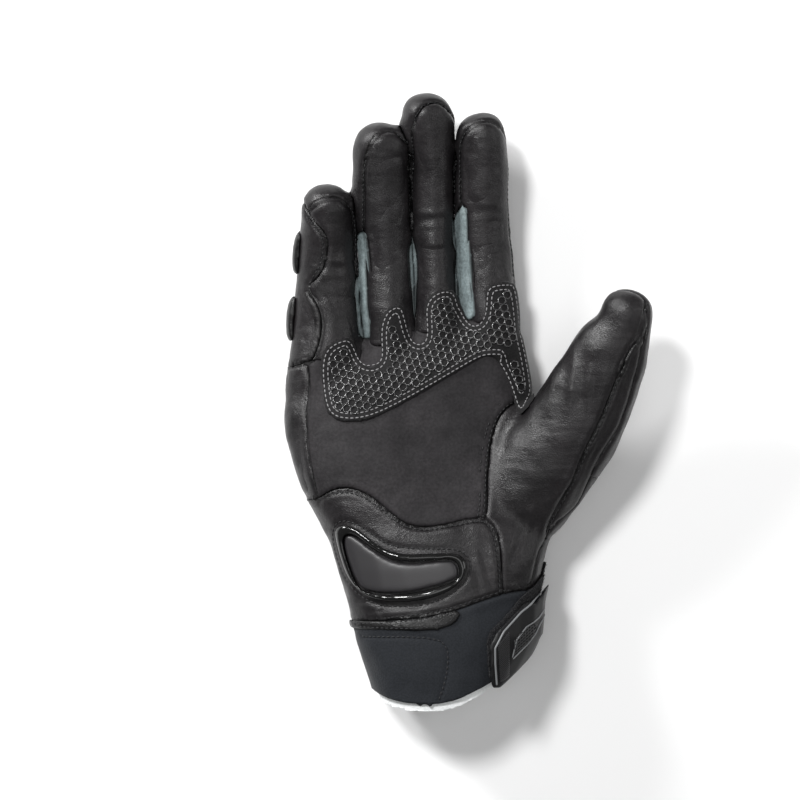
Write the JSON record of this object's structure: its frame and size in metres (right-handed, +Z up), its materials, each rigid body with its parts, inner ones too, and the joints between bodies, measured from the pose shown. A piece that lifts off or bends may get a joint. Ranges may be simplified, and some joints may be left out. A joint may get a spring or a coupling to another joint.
{
  "type": "motorcycle glove",
  "caption": "Short-cuff leather motorcycle glove for the right hand, with a grip patch on the palm, a hard slider on the heel of the hand and a wrist strap.",
  "frame": {"origin": "on the surface that the glove lies on, under the middle of its outline", "axes": "+X across the hand towards the thumb, +Y along the hand towards the fingertips, +Z up out of the palm"},
  "size_m": [0.1506, 0.2516, 0.0505],
  "materials": {
    "black_leather": "semi-gloss full grain leather, black",
    "palm_leather": "matt suede-like leather, black",
    "grey_leather": "matt leather, grey green",
    "grip_silicone": "glossy raised silicone print, black",
    "neoprene": "matt knit-faced neoprene, black",
    "lining_cloth": "matt knitted cloth, light grey",
    "gloss_plastic": "gloss black",
    "matte_plastic": "satin charcoal",
    "strap_web": "fuzzy loop tape, black",
    "tab_rubber": "satin moulded rubber, charcoal"
  },
  "bodies": {
    "root": {"cuff": "neoprene", "gusset_little_right": "grey_leather", "gusset_ring_left": "grey_leather", "gusset_ring_right": "grey_leather", "gusset_middle_left": "grey_leather", "gusset_middle_right": "grey_leather", "gusset_index_left": "grey_leather", "little_finger_guard": "black_leather", "heel_panel": "black_leather", "edge_panel": "black_leather", "finger_front_little": "black_leather", "finger_front_ring": "black_leather", "finger_front_middle": "black_leather", "finger_front_index": "black_leather", "palm_panel": "palm_leather", "finger_back_little": "black_leather", "finger_back_ring": "black_leather", "finger_back_middle": "black_leather", "finger_back_index": "black_leather", "thumb_back": "black_leather", "thumb_panel": "black_leather", "thumb_strip": "black_leather", "back_panel": "black_leather", "grip_patch": "grip_silicone", "wrist_band": "black_leather", "slider_frame": "gloss_plastic", "slider_insert": "matte_plastic", "strap": "strap_web", "strap_tab": "tab_rubber", "cuff_lining": "lining_cloth", "knuckle_pad_1": "black_leather", "knuckle_pad_2": "black_leather"}
  },
  "joints": []
}
